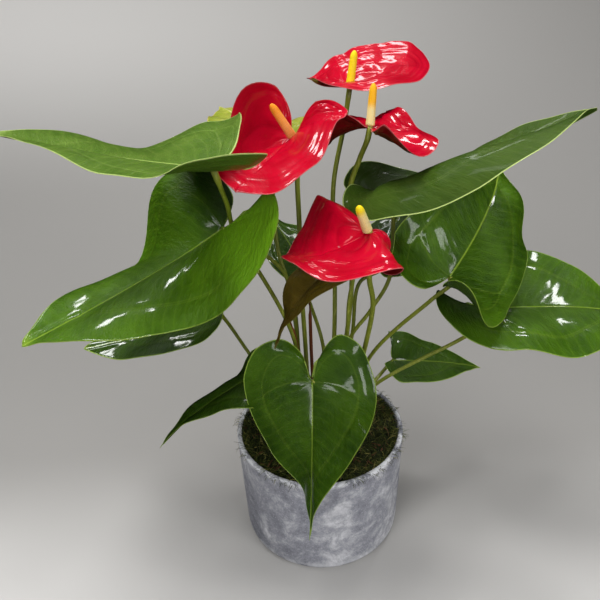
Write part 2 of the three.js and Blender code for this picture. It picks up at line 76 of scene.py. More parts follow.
# Fineness and finish of the meshes
BLADE_RAYS = 72
BLADE_LEVELS = 32
SPINE_STEPS = 240
SHEET_THICKNESS = 0.5
RIM_INSET = 0.985
FLORET_SIZE = 1.25
FLORET_RELIEF = 0.3
RIM_CROWN = 1.4
SIDE_VEIN_SPACING = 8.5
STALK_PLACES = 72
STALK_SIDES = 14
STRAND_STEPS = 5
MOSS_STRANDS = 6500
LITTER_BITS = 170
RIM_WISPS = 9
# Degrees that a strand of bend 1 leans down and turns aside by its tip
STRAND_DROOP = 60
STRAND_SWING = 35
# How much stouter a stalk is by its foot and just below its blade, as shares of its radius
PETIOLE_SWELLS = (0.55, 0.3)
PEDUNCLE_SWELLS = (0.25, 0.12)
OLD_STALK_SWELLS = (0.9, -0.55)
# Where those swells lie, along the stalk from its foot and from its blade
SHEATH_MIDDLE = 28
SHEATH_SPREAD = 30
KNOB_BEGIN = 14
KNOB_FULL = 7
# Where moss hangs over the rim: compass place in degrees and how many strands
RIM_TUFTS = [
    (-66, 90), (-50, 70), (-30, 60), (-12, 60), (12, 60), (30, 50), (-115, 60), (-130, 50), (-155, 60),
    (172, 60), (60, 50), (95, 40), (140, 50),
]

# Place that the lights face, in metres
PLANT_MIDDLE = (0, 0, 0.25)

# The photograph's camera, its place in metres and its angles in degrees
CAMERA_PLACE = (-0.0129, -0.4341, 0.4885)
CAMERA_PITCH = 29.84
CAMERA_ROLL = -2.45
FOCAL_PIXELS = 620
IMAGE_PIXELS = 600

# Each blade's shape, as the frame has it; a half is (half width, lobe length, folds, curls)
# age_and_painted_light is (body, left lobe, right lobe): above 0 a blade is darker, partly an older leaf's
# own tone and partly painted shade; below 0 it is lighter, as painted light
LEAVES = {
    "leaf_upper_left": dict(
        at=(-62, -70, 374), length=139, head=(171, 1), rise=(4, -9, 1),
        roll=(-4, -11), lift=(-37, -11), fullness=0.6,
        left=(36, 41, (-5, 5, 15, 40), (-90, 10)),
        right=(70, 12, (40, 10, -10, -5), (-5, 30)),
        stalk=[(-17, 10), (-23, 6, 258), (-56, -16, 304), (-58, -50, 343)], look="leaf_light",
    ),
    "leaf_left": dict(
        at=(-65, -32, 318), length=162, head=(-176, 26), rise=(-34, -20, 0.8),
        roll=(-10, 5), lift=(-45, -45), fullness=0.6,
        left=(67, 47, (-10, 0, 17, 25), (-10, 50)),
        right=(67, 42, (80, 60, 0, 15), (60, 45)),
        stalk=[(-18, -14), (-18, -13, 205), (-46, -22, 285)], age_and_painted_light=(-0.15, -1.0, 0.9), look="leaf",
    ),
    "leaf_left_under": dict(
        at=(-85, 19, 223), length=117, head=(-171, -5), rise=(-17, -10, 1.3),
        roll=(0, -20), lift=(-45, -45), fullness=0.7,
        left=(41, 25, (25, 10, 20, 5), (-5, 30)),
        right=(43, 39, (20, 20, 10, 10), (10, 15)),
        stalk=[(-26, 6), (-68, 47, 168)], age_and_painted_light=(0.58, 0.58, 0.58), look="leaf",
    ),
    "leaf_lower_left": dict(
        at=(-44, 4, 172), length=118, head=(-153, -15), rise=(-16, 35, 1.7),
        roll=(25, 0), lift=(0, 25), fullness=1.1,
        left=(43, 14, (0, -15, 10, 15), (15, 30)),
        right=(41, 23, (5, 10, 20, 30), (-45, 55)),
        stalk=[(-25, -3), (-36, 0, 148)], age_and_painted_light=(0.55, 0.55, 0.55), look="leaf",
    ),
    "leaf_front": dict(
        at=(-6, -46, 191), length=122, head=(-94, -5), rise=(-60, -5, 1.3),
        roll=(25, 20), lift=(-20, -20), fullness=1.3,
        left=(51, 39, (5, -10, 0, 20), (40, 0)),
        right=(56, 35, (30, 25, 20, -20), (-10, 25)),
        stalk=[(0, -14), (-3, -24, 164)], age_and_painted_light=(0.32, 0.25, 0.25), look="leaf",
        style=dict(lobe_roll=5, quilt=0.2, groove=0.3),
    ),
    "leaf_lower_right": dict(
        at=(73, 43, 145), length=100, head=(12, 5), rise=(-12, 15, 1.5),
        roll=(20, 0), lift=(-35, -35), fullness=0.9,
        left=(32, 6, (30, 30, 5, 5), (50, 15)),
        right=(29, 14, (15, 10, 10, 20), (-5, 5)),
        stalk=[(24, 15), (53, 24, 137)], age_and_painted_light=(0.4, 0.4, 0.4), look="leaf",
    ),
    "leaf_right": dict(
        at=(146, -10, 230), length=121, head=(-20, 25), rise=(11, 40, 1.6),
        roll=(5, -10), lift=(-60, -60), fullness=0.8,
        left=(61, 50, (35, 25, 15, 10), (30, -10)),
        right=(59, 58, (35, 30, 5, -5), (50, 70)),
        stalk=[(28, 4), (48, 2, 147), (124, 2, 195)], age_and_painted_light=(-0.08, 0.3, 0.3), look="leaf",
        style=dict(quilt=0.6),
    ),
    "leaf_mid_right": dict(
        at=(99, -29, 271), length=139, head=(40, 40), rise=(35, 35, 1.6),
        roll=(5, 55), lift=(-70, -70), fullness=0.8,
        left=(53, 46, (50, 45, 30, 15), (20, 15)),
        right=(55, 29, (55, -10, -5, 20), (95, 25)),
        stalk=[(26, -7), (43, -8, 185), (88, -22, 247)], look="leaf",
        style=dict(quilt=0.5, swell=0.9),
    ),
    "leaf_upper_right": dict(
        at=(62, 8, 323), length=150, head=(-22, 35), rise=(23, 0, 0.8),
        roll=(-35, 15), lift=(-10, -90), fullness=0.6,
        left=(51, 46, (60, 25, 40, 40), (-55, 35)),
        right=(70, 38, (-10, 25, 40, 35), (85, 140)),
        stalk=[(19, -3), (26, -3, 199), (44, -2, 228), (59, 0, 257)], age_and_painted_light=(0.55, 0.93, 0.5),
        look="leaf_light",
    ),
    "leaf_back": dict(
        at=(-11, 71, 238), length=85, head=(119, -5), rise=(31, 25, 1.2),
        roll=(10, 10), lift=(-10, -10), fullness=1.1,
        left=(33, 22, (15, 15, 10, 10), (20, 15)),
        right=(32, 23, (15, 15, 15, -5), (25, 15)),
        stalk=[(3, 17), (6, 20, 178), (-5, 46, 213)], age_and_painted_light=(0.4, 0.4, 0.4), look="leaf",
    ),
    "leaf_back_right": dict(
        at=(54, 31, 255), length=76, head=(62, 5), rise=(29, 30, 1.3),
        roll=(0, 0), lift=(-15, -15), fullness=1,
        left=(30, 20, (15, 15, 10, 10), (25, 15)),
        right=(30, 15, (15, 10, 10, 10), (25, 15)),
        stalk=[(17, 14), (31, 16, 194), (38, 26, 239)], age_and_painted_light=(0.6, 0.6, 0.6), look="leaf",
    ),
    "young_leaf_green": dict(
        at=(-28, 51, 348), length=101, head=(123, -5), rise=(21, 25, 1.2),
        roll=(0, 0), lift=(-10, -10), fullness=1,
        left=(47, 26, (15, 10, 20, 0), (20, 15)),
        right=(44, 28, (20, 25, -5, 5), (10, 15)),
        stalk=[(-13, 17), (-21, 19, 239), (-29, 28, 271), (-31, 39, 312)], look="leaf_young",
    ),
    "young_leaf_bronze": dict(
        at=(21, -34, 289), length=90, head=(-176, 15), rise=(-16, 55, 0.6),
        roll=(10, -15), lift=(-10, -10), fullness=0.6,
        left=(29, 16, (15, 5, 20, 35), (25, 15)),
        right=(28, 15, (15, 10, 50, -5), (25, 50)),
        stalk=[(12, -9), (23, -16, 204), (24, -28, 250)], look="leaf_bronze",
    ),
}
# Spadix colours, from pollen-fresh to ripe
CREAM = (0.82, 0.68, 0.3)
PEACH = (0.9, 0.42, 0.12)
YELLOW = (0.9, 0.68, 0.005)
AMBER = (0.88, 0.44, 0.005)
ORANGE = (0.88, 0.3, 0.01)

# Each flower: to is the spadix tip's place from the joint, and ripe its colours and where they change
FLOWERS = {
    "left": dict(
        at=(-13, -3, 372), length=83, head=(-116, 0), rise=(-6, 5, 1.3),
        roll=(20, -25), lift=(-30, -30), fullness=1,
        left=(48, 20, (50, 30, 5, -15), (75, 10)),
        right=(57, 26, (85, -10, 15, 15), (-25, 20)),
        stalk=[(-9, 4), (-10, 2, 196), (-11, 4, 235), (-11, 0, 308), (-11, -1, 343)],
        to=(-14, -3, 24), radius=3.1, ripe=(PEACH, ORANGE, 0.2, 1),
    ),
    "right": dict(
        at=(41, 0, 376), length=49, head=(68, 0), rise=(-5, -10, 0.9),
        roll=(5, 8), lift=(-75, -75), fullness=1.3,
        left=(44, 25, (20, -10, 0, -35), (75, 25)),
        right=(48, 21, (-35, 5, 0, 50), (20, 10)),
        stalk=[(14, 3), (24, 2, 194), (29, 2, 250), (27, 0, 331), (34, 1, 353)],
        to=(3, 8, 28), radius=3, ripe=(CREAM, AMBER, 0.35, 0.6),
    ),
    "back": dict(
        at=(32, 56, 393), length=93, head=(24, 62), rise=(4, -14, 0.5),
        roll=(-10, 8), lift=(-44, -22), fullness=0.4,
        left=(46, 22, (10, 25, 15, 5), (15, -5)),
        right=(34, 43, (32, 30, 15, 0), (70, 70)),
        stalk=[(8, 9), (15, 12, 193), (17, 25, 241), (18, 44, 320), (27, 54, 362)],
        to=(4, 5, 25), radius=3.1, ripe=(YELLOW, YELLOW, 0, 1),
    ),
    "front": dict(
        at=(32, -72, 329), length=59, head=(-156, -24), rise=(-24, -34, 1.4),
        roll=(6, 17), lift=(92, 88), fullness=0.7,
        left=(36, 30, (-55, -15, -20, -5), (20, 5)),
        right=(53, 19, (-50, 45, 32, 10), (45, 30)),
        stalk=[(21, -11), (37, -20, 200), (41, -38, 254), (35, -60, 292)],
        to=(-7, -7, 20), radius=3.1, ripe=(CREAM, YELLOW, 0.6, 0.9),
    ),
}
OLD_STALKS = [
    ((-14, -4), (-17, -5, 197), (-22, -6, 226)),
    ((-3, -3), (-5, 5, 176), (-5, 6, 234)),
]


def smooth(low, high, value):
    """Eases from 0 at low to 1 at high."""
    share = np.clip((value - low) / (high - low), 0, 1)
    return share * share * (3 - 2 * share)


def unit(vectors):
    return vectors / np.maximum(np.linalg.norm(vectors, axis=-1, keepdims=True), 1e-9)


def outline_points(points, t):
    """Points of a smooth line through the outline's points, for each t from 0 to 1."""
    points = np.array(points, float)
    last = len(points) - 1
    long = np.vstack([2 * points[0] - points[1], points, 2 * points[-1] - points[-2]])
    i = np.minimum((t * last).astype(int), last - 1)
    u = (t * last - i)[:, None]
    a, b, c, d = long[i], long[i + 1], long[i + 2], long[i + 3]
    bend = 2 * a - 5 * b + 4 * c - d
    return 0.5 * (2 * b + (c - a) * u + bend * u**2 + (3 * b - a - 3 * c + d) * u**3)


def at_station(stations, values, s):
    """Value between stated stations, eased at each."""
    result = np.full_like(s, values[0])
    for low, high, before, after in zip(stations, stations[1:], values, values[1:]):
        result = np.where(s > low, before + (after - before) * smooth(low, high, s), result)
    return result


def direction(heading, climb):
    """Unit vectors with these headings and climbs, in degrees."""
    heading, climb = np.radians(heading), np.radians(climb)
    flat = np.cos(climb)
    return np.stack([flat * np.cos(heading), flat * np.sin(heading), np.sin(climb)], -1)


def spine(spec, side=1):
    """Gives the midrib's place and direction at shares of the length, behind the joint where negative."""
    steps = np.linspace(0, 1, SPINE_STEPS + 1)
    head, sway = spec["head"]
    climb, droop, power = spec["rise"]
    lift = spec["lift"][0 if side < 0 else 1]

    def walk(tangents):
        strides = (tangents[1:] + tangents[:-1]) / 2 / SPINE_STEPS
        return np.vstack([np.zeros(3), np.cumsum(strides, 0)])

    def ahead(s):
        return direction(head + sway * s, climb - droop * s**power)

    def behind(s):
        return direction(np.full_like(s, head), climb + lift * s)

    forward, backward = walk(ahead(steps)), -walk(behind(steps))

    def line(share):
        size = np.abs(share)
        before = (share < 0)[..., None]
        front, back = (
            np.stack([np.interp(size, steps, walked[:, k]) for k in range(3)], -1)
            for walked in (forward, backward))
        return np.where(before, back, front), np.where(before, behind(size), ahead(size))

    return line


def across_and_normal(tangent, roll):
    """The blade's own sideways and upward directions where it has this direction and roll."""
    right = unit(np.cross(tangent, [0, 0, 1.0]))
    up = np.cross(right, tangent)
    roll = np.radians(roll)[..., None]
    across = right * np.cos(roll) - up * np.sin(roll)
    return across, np.cross(across, tangent)


def blade_points(spec, line, side, x, y):
    """Places of the blade's points at x across and y along its flat shape."""
    width, lobe, folds, curls = spec["left"] if side < 0 else spec["right"]
    length = spec["length"]
    reach = np.where(y >= 0, length, lobe)
    place, tangent = line(y / reach)
    across, normal = across_and_normal(tangent, spec["roll"][0] + spec["roll"][1] * y / length)
    station = y / (x + STATION_REACH * length)
    fold = np.radians(at_station(FOLD_STATIONS, folds, station))
    curl = np.radians(at_station(CURL_STATIONS, curls, station))
    curl = np.where(np.abs(curl) < 1e-5, 1e-3, curl)
    q = x / width
    out = -(np.sin(fold - curl * q) - np.sin(fold)) * width / curl
    rise = (np.cos(fold - curl * q) - np.cos(fold)) * width / curl
    return (np.array(spec["at"], float) + place * reach[..., None]
            + across * (side * out)[..., None] + normal * rise[..., None])


def vertex_normals(points, corners):
    """Normals of a sheet's points, from its faces given as triples of corners."""
    a, b, c = (points[corners[:, k]] for k in range(3))
    face = np.cross(b - a, c - a)
    total = np.zeros_like(points)
    for k in range(3):
        np.add.at(total, corners[:, k], face)
    return unit(total)


def make_mesh(name, points, faces, fields=None):
    """A smooth mesh object in metres from points in millimetres, with named values for each point."""
    mesh = bpy.data.meshes.new(name)
    mesh.from_pydata((np.asarray(points) * MM).tolist(), [], [[int(v) for v in f] for f in faces])
    for field, values in (fields or {}).items():
        kind, key = ("FLOAT_VECTOR", "vector") if values.ndim == 2 else ("FLOAT", "value")
        data = mesh.attributes.new(field, kind, "POINT").data
        data.foreach_set(key, np.ascontiguousarray(values, np.float32).ravel())
    mesh.polygons.foreach_set("use_smooth", [True] * len(mesh.polygons))
    mesh.update()
    piece = bpy.data.objects.new(name, mesh)
    bpy.context.scene.collection.objects.link(piece)
    return piece


def finish_piece(piece, slot, *nodes):
    """Gives a piece the material named by slot, and lets it stand for its nodes of the frame."""
    piece.data.materials.append(MATERIALS[slot])
    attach(piece, "root")
    if nodes:
        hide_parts(*nodes)
    return piece


def collector(t, s, size, swing, begin, spread, reach):
    """Signed distance to a main vein that leaves the joint near the ray begin and then follows the rim."""
    target = reach * smooth(begin, begin + spread, t)
    slope = np.gradient(target, t[:, 0], axis=0) * size
    steep = slope / np.maximum(np.maximum(s, 0.03) * swing, 1e-3)
    return (s - target) * size / np.sqrt(1 + steep**2)


def groove(distance, depth, width):
    return -depth * np.exp(-(distance / width) ** 2)


def ribbing(phase):
    """Low at each whole number, with a full rounded back between."""
    return np.sqrt(np.abs(np.sin(np.pi * phase))) - 0.7


def blade_half(spec, outline, side, style, rng):
    """Flat places, places, rim distance, veins and relief of one half of a blade, rays by levels."""
    width, lobe, _, _ = spec["left"] if side < 0 else spec["right"]
    length = spec["length"]
    t = np.linspace(0, 1, BLADE_RAYS + 1)
    u, v = outline_points(outline, t).T
    power = 1 + (spec["fullness"] - 1) * np.clip((v - 0.1) / 0.3, 0, 1)
    margin = np.stack([width * np.maximum(u, 0) ** power, v * np.where(v >= 0, length, lobe)], -1)
    s = np.append(np.linspace(0, 1, BLADE_LEVELS)[1:-1], [RIM_INSET, 1.0])
    t, s = np.meshgrid(t, s, indexing="ij")
    x, y = margin[:, :1] * s, margin[:, 1:] * s
    size = np.linalg.norm(margin, axis=1)[:, None]
    step = np.gradient(margin, t[:, 0], axis=0)
    swing = np.abs(margin[:, 0] * step[:, 1] - margin[:, 1] * step[:, 0])[:, None] / size
    rim = (1 - s) * size * swing / np.maximum(np.linalg.norm(step, axis=1)[:, None], 1e-3)
    veins = [collector(t, s, size, swing, *place) for place in style["veins"]]
    phase = (y - style["slant"] * x - style["sweep"] * x * x) / style["spacing"]
    phase += 0.12 * np.sin(x * 0.21 + y * 0.05 + 2 * side)
    open_part = smooth(0, 0.12, 1 - s) * smooth(1, 10, x)
    lobe_part = smooth(0.1, -0.1, y / length)
    lobe_ribs = ribbing(t * style["lobe_ribs"]) * lobe_part * smooth(0.1, 0.4, s)
    relief = style["quilt"] * open_part * (ribbing(phase) * (1 - lobe_part) + lobe_ribs)
    for distance in veins:
        relief += groove(distance, style["groove"], style["groove_width"]) * smooth(0, 0.1, s)
    relief += groove(np.hypot(x, np.minimum(y, 0)), style["groove"] * 0.8, 1.3) * smooth(1, 0.5, y / length)
    first, other, third = rng.uniform(0, 2 * np.pi, 3)
    waves = np.sin(8 * np.pi * t + first) + 0.6 * np.sin(14 * np.pi * t + other)
    relief += style["ripple"] * s**3 * smooth(1, 0.9, t) * waves
    swells = np.sin(x * 0.13 + y * 0.09 + third) * np.sin(y * 0.11 - x * 0.05 + first)
    relief += style["swell"] * s * smooth(1, 0.85, t) * swells
    relief -= style["edge_roll"] * smooth(0.6, 1, s) ** 2 * smooth(1, 0.8, t)
    relief -= style["lobe_roll"] * smooth(0.5, 1.05, s) ** 2 * smooth(0.62, 0.4, t)
    place = blade_points(spec, spine(spec, side), side, x, y)
    return dict(flat=np.stack([side * x, y], -1), place=place, rim=rim, relief=relief,
                veins=np.stack([veins[0], veins[1], phase], -1))


def blade_piece(name, spec, outline, style, rng):
    """The blade as a thin closed sheet with its veins and waves, rounded at the rim."""
    halves = [blade_half(spec, outline, side, style, rng) for side in (-1, 1)]
    joint = dict(flat=[0, 0], place=spec["at"], rim=[9], relief=[0], veins=[0, 0, 0])

    def joined(key):
        left, right = (half[key].reshape(BLADE_RAYS + 1, BLADE_LEVELS, -1) for half in halves)
        rays = np.concatenate([left, right[::-1][1:]])
        return np.vstack([np.array(joint[key], float), rays.reshape(-1, rays.shape[-1])])

    flat, points, veins = joined("flat"), joined("place"), joined("veins")
    rim, relief = joined("rim")[:, 0], joined("relief")[:, 0]
    rays = 2 * BLADE_RAYS + 1
    corner = 1 + BLADE_LEVELS * np.arange(rays)
    here = corner[:-1, None] + np.arange(BLADE_LEVELS - 1)
    there = here + BLADE_LEVELS
    quads = np.stack([there, there + 1, here + 1, here], -1).reshape(-1, 4)
    fan = np.stack([np.zeros(rays - 1, int), corner[1:], corner[:-1]], -1)
    normals = vertex_normals(points, np.vstack([fan, quads[:, :3], quads[:, [0, 2, 3]]]))
    half = SHEET_THICKNESS / 2 * np.where(rim < 1e-6, 0.5, 1)
    keel = style["keel"] * np.exp(-(flat[:, 0] / 1.4) ** 2) * np.clip(1 - flat[:, 1] / spec["length"], 0, 1)
    keel *= smooth(-4, 2, flat[:, 1])
    top = points + normals * (relief + half)[:, None]
    bottom = points + normals * (relief - half - keel)[:, None]
    count = len(points)
    last = corner[-1] + np.arange(BLADE_LEVELS)
    first = corner[0] + np.arange(BLADE_LEVELS)
    loop = np.concatenate([[0], first, corner[1:-1] + BLADE_LEVELS - 1, last[::-1]])
    after = np.roll(loop, -1)
    side = np.stack([after, loop, loop + count, after + count], -1)
    faces = [*fan, *quads, *(fan[:, ::-1] + count), *(quads[:, ::-1] + count), *side]
    share = flat[:, 1] / spec["length"]
    # Per point darkening share, eased from the body into each lobe: partly own tone and painted shade, and
    # painted light where below 0
    body, left_lobe, right_lobe = spec.get("age_and_painted_light", (0, 0, 0))
    age_and_painted_light = body + (np.where(flat[:, 0] < 0, left_lobe, right_lobe) - body) * smooth(0.12, -0.08, share)
    fields = {
        "blade_flat": np.tile(np.column_stack([flat, share]), (2, 1)),
        "blade_veins": np.tile(veins, (2, 1)),
        "blade_edge": np.column_stack([
            np.tile(rim, 2), np.repeat([0.0, 1.0], count), np.tile(age_and_painted_light, 2)]),
    }
    return make_mesh(name, np.vstack([top, bottom]), faces, fields)


def smooth_line(points, count):
    """Centripetal line through the points, as count places and its directions."""
    points = np.array(points, float)
    long = np.vstack([2 * points[0] - points[1], points, 2 * points[-1] - points[-2]])
    share = np.linspace(0, len(points) - 1, count)
    i = np.minimum(share.astype(int), len(points) - 2)
    u = (share - i)[:, None]
    a, b, c, d = long[i], long[i + 1], long[i + 2], long[i + 3]
    ab, bc, cd = (np.sqrt(np.linalg.norm(q - p, axis=1))[:, None] for p, q in ((a, b), (b, c), (c, d)))
    leave = ((b - a) / ab - (c - a) / (ab + bc) + (c - b) / bc) * bc
    reach = ((c - b) / bc - (d - b) / (bc + cd) + (d - c) / cd) * bc
    place = b + leave * u + (3 * (c - b) - 2 * leave - reach) * u**2
    place += (2 * (b - c) + leave + reach) * u**3
    return place, unit(np.gradient(place, axis=0))


def ring_quads(rings, sides):
    """Faces between rings of points that follow one another."""
    i = (sides * np.arange(rings - 1))[:, None] + np.arange(sides)
    j = (sides * np.arange(rings - 1))[:, None] + np.roll(np.arange(sides), -1)
    return np.stack([i, j, j + sides, i + sides], -1).reshape(-1, 4)


def rod_faces(rings, sides):
    """Faces of a form made of rings of points, closed across its first and its last ring."""
    first = list(range(sides))
    last = list(range(sides * (rings - 1), sides * rings))
    return [*ring_quads(rings, sides), first[::-1], last]


def tube_piece(name, places, tangents, radii, sides, bumps=0, fields=None):
    """A closed round rod along a line, with its own radius at each place."""
    frame_axis = np.array([0.9, 0.43, 0.1])
    right = unit(np.cross(tangents, frame_axis))
    up = np.cross(right, tangents)
    angle = 2 * np.pi * np.arange(sides) / sides
    radii = np.asarray(radii, float)[:, None] * np.ones(sides) + bumps
    ring = right[:, None] * np.cos(angle)[None, :, None] + up[:, None] * np.sin(angle)[None, :, None]
    points = (places[:, None] + ring * radii[..., None]).reshape(-1, 3)
    count = len(places)
    share = np.repeat(np.linspace(0, 1, count), sides)
    return make_mesh(name, points, rod_faces(count, sides), fields or {"stalk_share": share})


def stalk_line(spec):
    """Places that a blade's stalk passes, from its foot in the mix to the joint."""
    (x, y), *rest = spec["stalk"]
    _, tangent = spine(spec)(np.zeros(1))
    _, normal = across_and_normal(tangent, np.array([float(spec["roll"][0])]))
    under = np.array(spec["at"]) - normal[0] * JOINT_BEND - tangent[0] * JOINT_BEND / 3
    return [(x, y, FOOT_DEPTH), (x, y, STALK_RISE), *rest, tuple(under), spec["at"]]


def stalk_piece(name, points, radius, swells):
    """A stalk that is stouter by its foot, and thickened or withered just below its blade."""
    sheath, knob = swells
    places, tangents = smooth_line(points, STALK_PLACES)
    run = np.append(0, np.cumsum(np.linalg.norm(np.diff(places, axis=0), axis=1)))
    left = run[-1] - run
    foot = sheath * np.exp(-((run - SHEATH_MIDDLE) / SHEATH_SPREAD) ** 2)
    radii = radius * (1 + foot + knob * smooth(KNOB_BEGIN, KNOB_FULL, left))
    return tube_piece(name, places, tangents, radii, STALK_SIDES)


def spadix_piece(name, spec):
    """Finger of florets: a tapering round-ended rod covered with staggered bumps."""
    at, tip = np.array(spec["at"], float), np.array(spec["to"], float)
    rows, sides = 96, 48
    t = np.linspace(0, 1, rows)
    axis = unit(tip[None])[0]
    places = at + tip * t[:, None]
    taper = 1 - SPADIX_TAPER * t
    end = np.sqrt(np.clip(1 - (np.clip(t - 0.8, 0, None) / 0.2) ** 2, 0.0004, 1))
    foot = np.sqrt(np.clip(t / 0.05, 0.04, 1))
    row = t[:, None] * np.linalg.norm(tip) / FLORET_SIZE
    columns = round(2 * np.pi * spec["radius"] / FLORET_SIZE)
    column = columns * np.arange(sides) / sides
    bumps = FLORET_RELIEF * np.abs(np.sin(np.pi * (row + column)) * np.sin(np.pi * (row - column)))
    radii = spec["radius"] * taper * end * foot
    low, high, begin, finish = spec["ripe"]
    ripe = smooth(begin, finish, t)[:, None]
    colour = np.repeat(np.array(low) * (1 - ripe) + np.array(high) * ripe, sides, 0)
    fields = {"floret": bumps.ravel() / FLORET_RELIEF, "ripeness": colour}
    bumps = bumps * (end * foot)[:, None]
    return tube_piece(name, places, np.tile(axis, (rows, 1)), radii, sides, bumps, fields)


class Paint:
    """A material's nodes, with short ways to add to them. Values are numbers, colours or sockets."""

    def __init__(self, name):
        self.material = bpy.data.materials.new(name)
        self.material.use_nodes = True
        self.tree = self.material.node_tree
        self.shader = self.tree.nodes["Principled BSDF"]

    def node(self, kind, settings=None, **inputs):
        made = self.tree.nodes.new("ShaderNode" + kind)
        for key, value in (settings or {}).items():
            setattr(made, key, value)
        for key, value in inputs.items():
            self.put(made.inputs[key.replace("_", " ")], value)
        return made

    def put(self, socket, value):
        if isinstance(value, bpy.types.NodeSocket):
            self.tree.links.new(value, socket)
        else:
            socket.default_value = (*value, 1) if socket.type == "RGBA" else value

    def set(self, **inputs):
        for key, value in inputs.items():
            self.put(self.shader.inputs[key.replace("_", " ")], value)

    def field(self, name, part="Vector"):
        return self.node("Attribute", {"attribute_name": name}).outputs[part]

    def parts(self, vector):
        return self.node("SeparateXYZ", Vector=vector).outputs

    def math(self, operation, a, b=0.0):
        made = self.node("Math", {"operation": operation})
        self.put(made.inputs[0], a)
        self.put(made.inputs[1], b)
        return made.outputs[0]

    def ease(self, value, low, high):
        """Goes smoothly from 0 at low to 1 at high."""
        made = self.node("MapRange", {"interpolation_type": "SMOOTHSTEP"}, Value=value)
        made.inputs["From Min"].default_value = low
        made.inputs["From Max"].default_value = high
        return made.outputs["Result"]

    def line(self, distance, inner, outer):
        """1 within inner of a signed distance's zero, and 0 beyond outer."""
        return self.ease(self.math("ABSOLUTE", distance), outer, inner)

    def stretched(self, vector, scale):
        return self.node("Mapping", Vector=vector, Scale=scale).outputs["Vector"]

    def noise(self, vector, scale, detail=3.0, roughness=0.5):
        made = self.node("TexNoise", Vector=vector, Scale=scale, Detail=detail, Roughness=roughness)
        return made.outputs["Fac"]

    def ramp(self, value, *stops):
        made = self.node("ValToRGB", Fac=value)
        elements = made.color_ramp.elements
        while len(elements) < len(stops):
            elements.new(0.5)
        for element, (place, colour) in zip(elements, stops):
            element.position = place
            element.color = (*colour, 1)
        return made.outputs["Color"]

    def mix(self, share, a, b):
        made = self.node("Mix", {"data_type": "RGBA"})
        self.put(made.inputs["Factor"], share)
        self.put(made.inputs[6], a)
        self.put(made.inputs[7], b)
        return made.outputs[2]

    def bump(self, height, strength, distance, normal=None):
        made = self.node("Bump", Height=height, Strength=strength, Distance=distance * MM)
        if normal is not None:
            self.put(made.inputs["Normal"], normal)
        return made.outputs["Normal"]


def shade(colour, factor):
    return tuple(c * factor for c in colour)


def blade_paint(name):
    """A blade's paint, its flat place, its distances to veins and rim, and grain along its side veins."""
    paint = Paint(name)
    x, y, share = paint.parts(paint.field("blade_flat"))
    first, second, phase = paint.parts(paint.field("blade_veins"))
    rim, under, age_and_painted_light = paint.parts(paint.field("blade_edge"))
    back = paint.math("MINIMUM", y, 0.0)
    squares = paint.math("ADD", paint.math("POWER", x, 2.0), paint.math("POWER", back, 2.0))
    midrib = paint.math("SQRT", squares)
    flat = paint.node("CombineXYZ", X=x, Y=y).outputs["Vector"]
    spaced = paint.math("MULTIPLY", phase, SIDE_VEIN_SPACING)
    along = paint.node("CombineXYZ", X=x, Y=spaced).outputs["Vector"]
    return paint, dict(x=x, y=y, share=share, first=first, second=second, phase=phase, rim=rim, under=under,
                       age_and_painted_light=age_and_painted_light, midrib=midrib, flat=flat, along=along)


def leaf_material(name, dark, light, vein, rim_colour, under, gloss, rough, sheen, grain):
    """Leaf: patchy green, pale midrib and main veins, faint side veins, pale rim, duller underside; darker
    or lighter by leaf and lobe, partly its own tone, partly painted shade and painted light.
    """
    paint, at = blade_paint(name)
    patches = paint.noise(at["flat"], 0.03, 5.0, 0.6)
    surface = paint.ramp(patches, (0.35, dark), (0.65, light))
    side = paint.math("PINGPONG", at["phase"], 0.5)
    ahead = paint.ease(at["y"], -4.0, 6.0)
    glow = paint.math("MULTIPLY", paint.ease(side, 0.4, 0.0), paint.math("MULTIPLY", ahead, 0.25))
    surface = paint.mix(glow, surface, light)
    side_line = paint.math("MULTIPLY", paint.ease(side, 0.09, 0.0), paint.math("MULTIPLY", ahead, 0.06))
    surface = paint.mix(side_line, surface, vein)
    for distance, share in ((at["first"], 0.13), (at["second"], 0.13)):
        main = paint.math("MULTIPLY", paint.line(distance, 0.1, 1.0), share)
        surface = paint.mix(main, surface, vein)
    surface = paint.mix(paint.math("MULTIPLY", paint.line(at["midrib"], 0.3, 1.0), 0.8), surface, vein)
    surface = paint.mix(paint.math("MULTIPLY", paint.ease(at["share"], 0.93, 1.0), 0.6), surface, vein)
    # Above 0 darkens, partly an older leaf's own darker tone and partly painted shade on lobes in shade;
    # below 0 brightens, as painted light on lobes in shade
    surface = paint.mix(at["age_and_painted_light"], surface, shade(dark, 0.3))
    surface = paint.mix(paint.math("MULTIPLY", at["age_and_painted_light"], -1.0), surface, shade(light, 2.2))
    lower = paint.mix(paint.ease(patches, 0.3, 0.7), shade(under, 0.8), under)
    lower = paint.mix(paint.math("MULTIPLY", paint.line(at["midrib"], 0.7, 1.7), 0.7), lower, vein)
    surface = paint.mix(at["under"], surface, lower)
    surface = paint.mix(paint.ease(at["rim"], 0.9, 0.3), surface, rim_colour)
    cells = paint.noise(paint.stretched(at["along"], (0.16, 0.3, 1.0)), 1.0, 2.0, 0.55)
    crinkle = paint.noise(paint.stretched(at["along"], (0.5, 0.9, 1.0)), 1.0, 3.0, 0.6)
    normal = paint.bump(cells, 1.0, 1.5 * grain)
    normal = paint.bump(crinkle, 1.0, 0.8 * grain, normal)
    roughness = paint.node("MapRange", Value=patches)
    roughness.inputs["To Min"].default_value = rough - 0.06
    roughness.inputs["To Max"].default_value = rough + 0.06
    paint.set(Base_Color=surface, Roughness=roughness.outputs["Result"], Normal=normal)
    paint.set(Coat_Weight=gloss, Coat_Roughness=0.1, Specular_IOR_Level=sheen)
    paint.set(Subsurface_Weight=0.1, Subsurface_Radius=(0.8, 1.6, 0.4), Subsurface_Scale=MM)
    return paint.material


